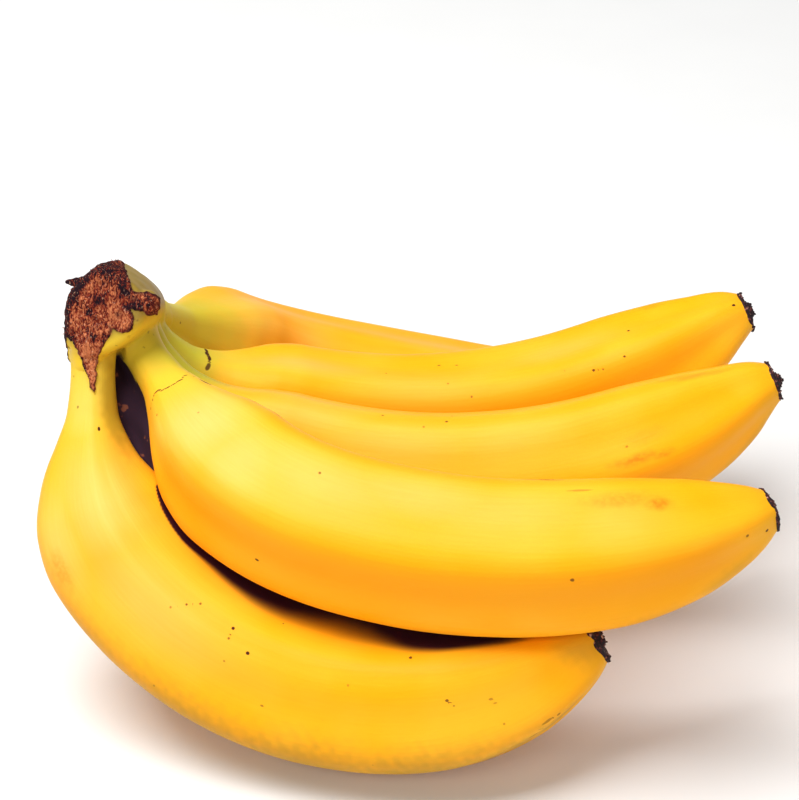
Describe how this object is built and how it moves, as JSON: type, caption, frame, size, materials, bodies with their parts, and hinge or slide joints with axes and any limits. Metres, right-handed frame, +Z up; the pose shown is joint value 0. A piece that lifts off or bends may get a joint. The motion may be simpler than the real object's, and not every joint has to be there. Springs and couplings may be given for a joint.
{
  "type": "bunch of bananas",
  "caption": "Ripe yellow bananas joined at a dried brown crown, lying on the backs of the outer fingers with the tips turned up.",
  "frame": {"origin": "bottom centre of the bunch's box, on the surface that it lies on", "axes": "+X from the crown towards the tips, +Y from the front finger towards the back one, +Z up"},
  "size_m": [0.19, 0.1834, 0.1084],
  "materials": {
    "banana_skin": "smooth waxy skin, satin",
    "crown_fibre": "dry, fibrous, matte",
    "blossom_dry": "dried, rough, matte"
  },
  "bodies": {
    "root": {"crown": "crown_fibre", "finger_1": "banana_skin", "finger_2": "banana_skin", "finger_3": "banana_skin", "finger_4": "banana_skin", "finger_5": "banana_skin", "blossom_end_1": "blossom_dry", "blossom_end_2": "blossom_dry", "blossom_end_3": "blossom_dry", "blossom_end_4": "blossom_dry", "blossom_end_5": "blossom_dry"}
  },
  "joints": []
}
